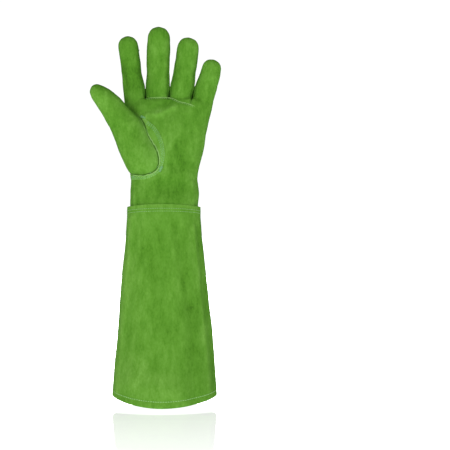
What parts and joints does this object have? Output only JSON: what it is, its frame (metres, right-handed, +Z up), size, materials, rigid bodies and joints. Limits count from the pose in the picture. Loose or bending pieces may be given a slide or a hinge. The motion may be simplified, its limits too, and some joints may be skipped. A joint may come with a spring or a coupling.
{
  "type": "left-hand rose pruning gauntlet",
  "caption": "Green split suede rose pruning gauntlet for the left hand, with a long flared cuff, keystone thumb and elastic gathers at the back of the wrist.",
  "frame": {"origin": "middle of the cuff's mouth, level with the lowest point of its rim", "axes": "+Z up the forearm to the fingertips, -Y the palm side, -X the thumb's side"},
  "size_m": [0.1536, 0.092, 0.4475],
  "materials": {
    "hand_suede": "matt suede nap",
    "cuff_suede": "matt suede nap",
    "stitching": "matt sewing thread"
  },
  "bodies": {
    "root": {"palm": "hand_suede", "back": "hand_suede", "middle_finger_front": "hand_suede", "ring_finger_front": "hand_suede", "fourchette_index_middle": "hand_suede", "fourchette_middle_ring": "hand_suede", "fourchette_ring_little": "hand_suede", "thumb_front": "hand_suede", "thumb_back": "hand_suede", "thumb_welt": "hand_suede", "cuff_front": "cuff_suede", "cuff_back": "cuff_suede"}
  },
  "joints": []
}
